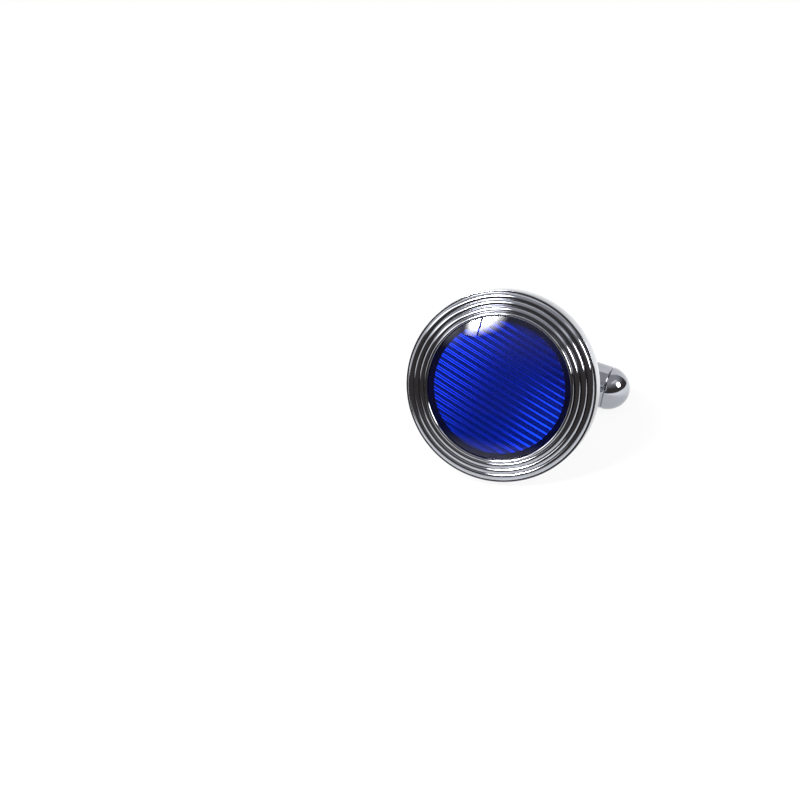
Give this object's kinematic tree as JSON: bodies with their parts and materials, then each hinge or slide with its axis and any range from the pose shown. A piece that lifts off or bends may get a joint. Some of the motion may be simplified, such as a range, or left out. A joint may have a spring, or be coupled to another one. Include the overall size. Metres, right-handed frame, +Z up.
{
  "type": "cufflink",
  "caption": "Round cufflink with a stepped polished border, a blue ribbed inlay under a clear dome and a bar behind that swivels to pass a buttonhole.",
  "frame": {"origin": "on the table, below the middle of the cufflink's box, as it lies on rim, arm and bar end", "axes": "+Z up from the table, +X to the right along the closed bar as seen from the face, -Y the way the face looks"},
  "size_m": [0.0182, 0.0214, 0.0167],
  "materials": {
    "polished_plate": "mirror polish",
    "spring_steel": "rolled strip",
    "blue_metal": "transparent blue lacquer on bright metal",
    "clear_resin": "clear gloss"
  },
  "bodies": {
    "cufflink": {"face_cup": "polished_plate", "back_plate": "polished_plate", "inlay_bed": "blue_metal", "ribbed_inlay": "blue_metal", "clear_dome": "clear_resin", "post_pad": "polished_plate", "swivel_post": "polished_plate", "post_rivet": "polished_plate", "pivot_pin": "polished_plate"},
    "toggle": {"toggle_tube": "polished_plate", "toggle_cap_right": "polished_plate", "toggle_cap_left": "polished_plate", "detent_spring_front": "spring_steel", "detent_spring_rear": "spring_steel"}
  },
  "joints": [
    {"name": "toggle_swivel", "type": "hinge", "parent": "cufflink", "child": "toggle", "pos_m": [0, 0.00787, 0.00351], "axis": [0.2203, 0.3105, 0.9247], "range_deg": [-90, 90], "deforming": ["detent_spring_front", "detent_spring_rear"]}
  ]
}
